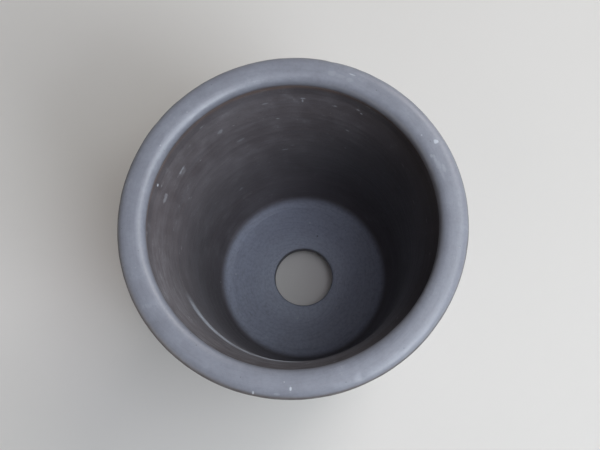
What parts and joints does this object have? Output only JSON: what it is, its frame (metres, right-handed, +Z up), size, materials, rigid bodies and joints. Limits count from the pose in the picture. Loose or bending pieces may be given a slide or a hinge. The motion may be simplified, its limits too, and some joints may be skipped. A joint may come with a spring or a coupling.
{
  "type": "bonsai pot",
  "caption": "Deep round unglazed bonsai pot with a flared wall, thick rolled rim, central drain hole in the floor and low arc-shaped feet.",
  "frame": {"origin": "centre of the plane that the feet stand on, under the middle of the pot", "axes": "+Z up along the pot's turning axis, -Y towards the gap between the two front feet, +X to the right"},
  "size_m": [0.18, 0.18, 0.165],
  "materials": {
    "rim_clay": "unglazed purple-grey stoneware, worn to a soft sheen, dusty",
    "wall_clay": "unglazed dark purple-brown stoneware with fine turning lines, matte",
    "floor_clay": "unglazed slate-grey stoneware, matte",
    "foot_clay": "unglazed purple-brown stoneware, matte"
  },
  "bodies": {
    "root": {"rim_coil": "rim_clay", "wall": "wall_clay", "floor_slab": "floor_clay", "foot_back": "foot_clay", "foot_front_left": "foot_clay", "foot_front_right": "foot_clay"}
  },
  "joints": []
}
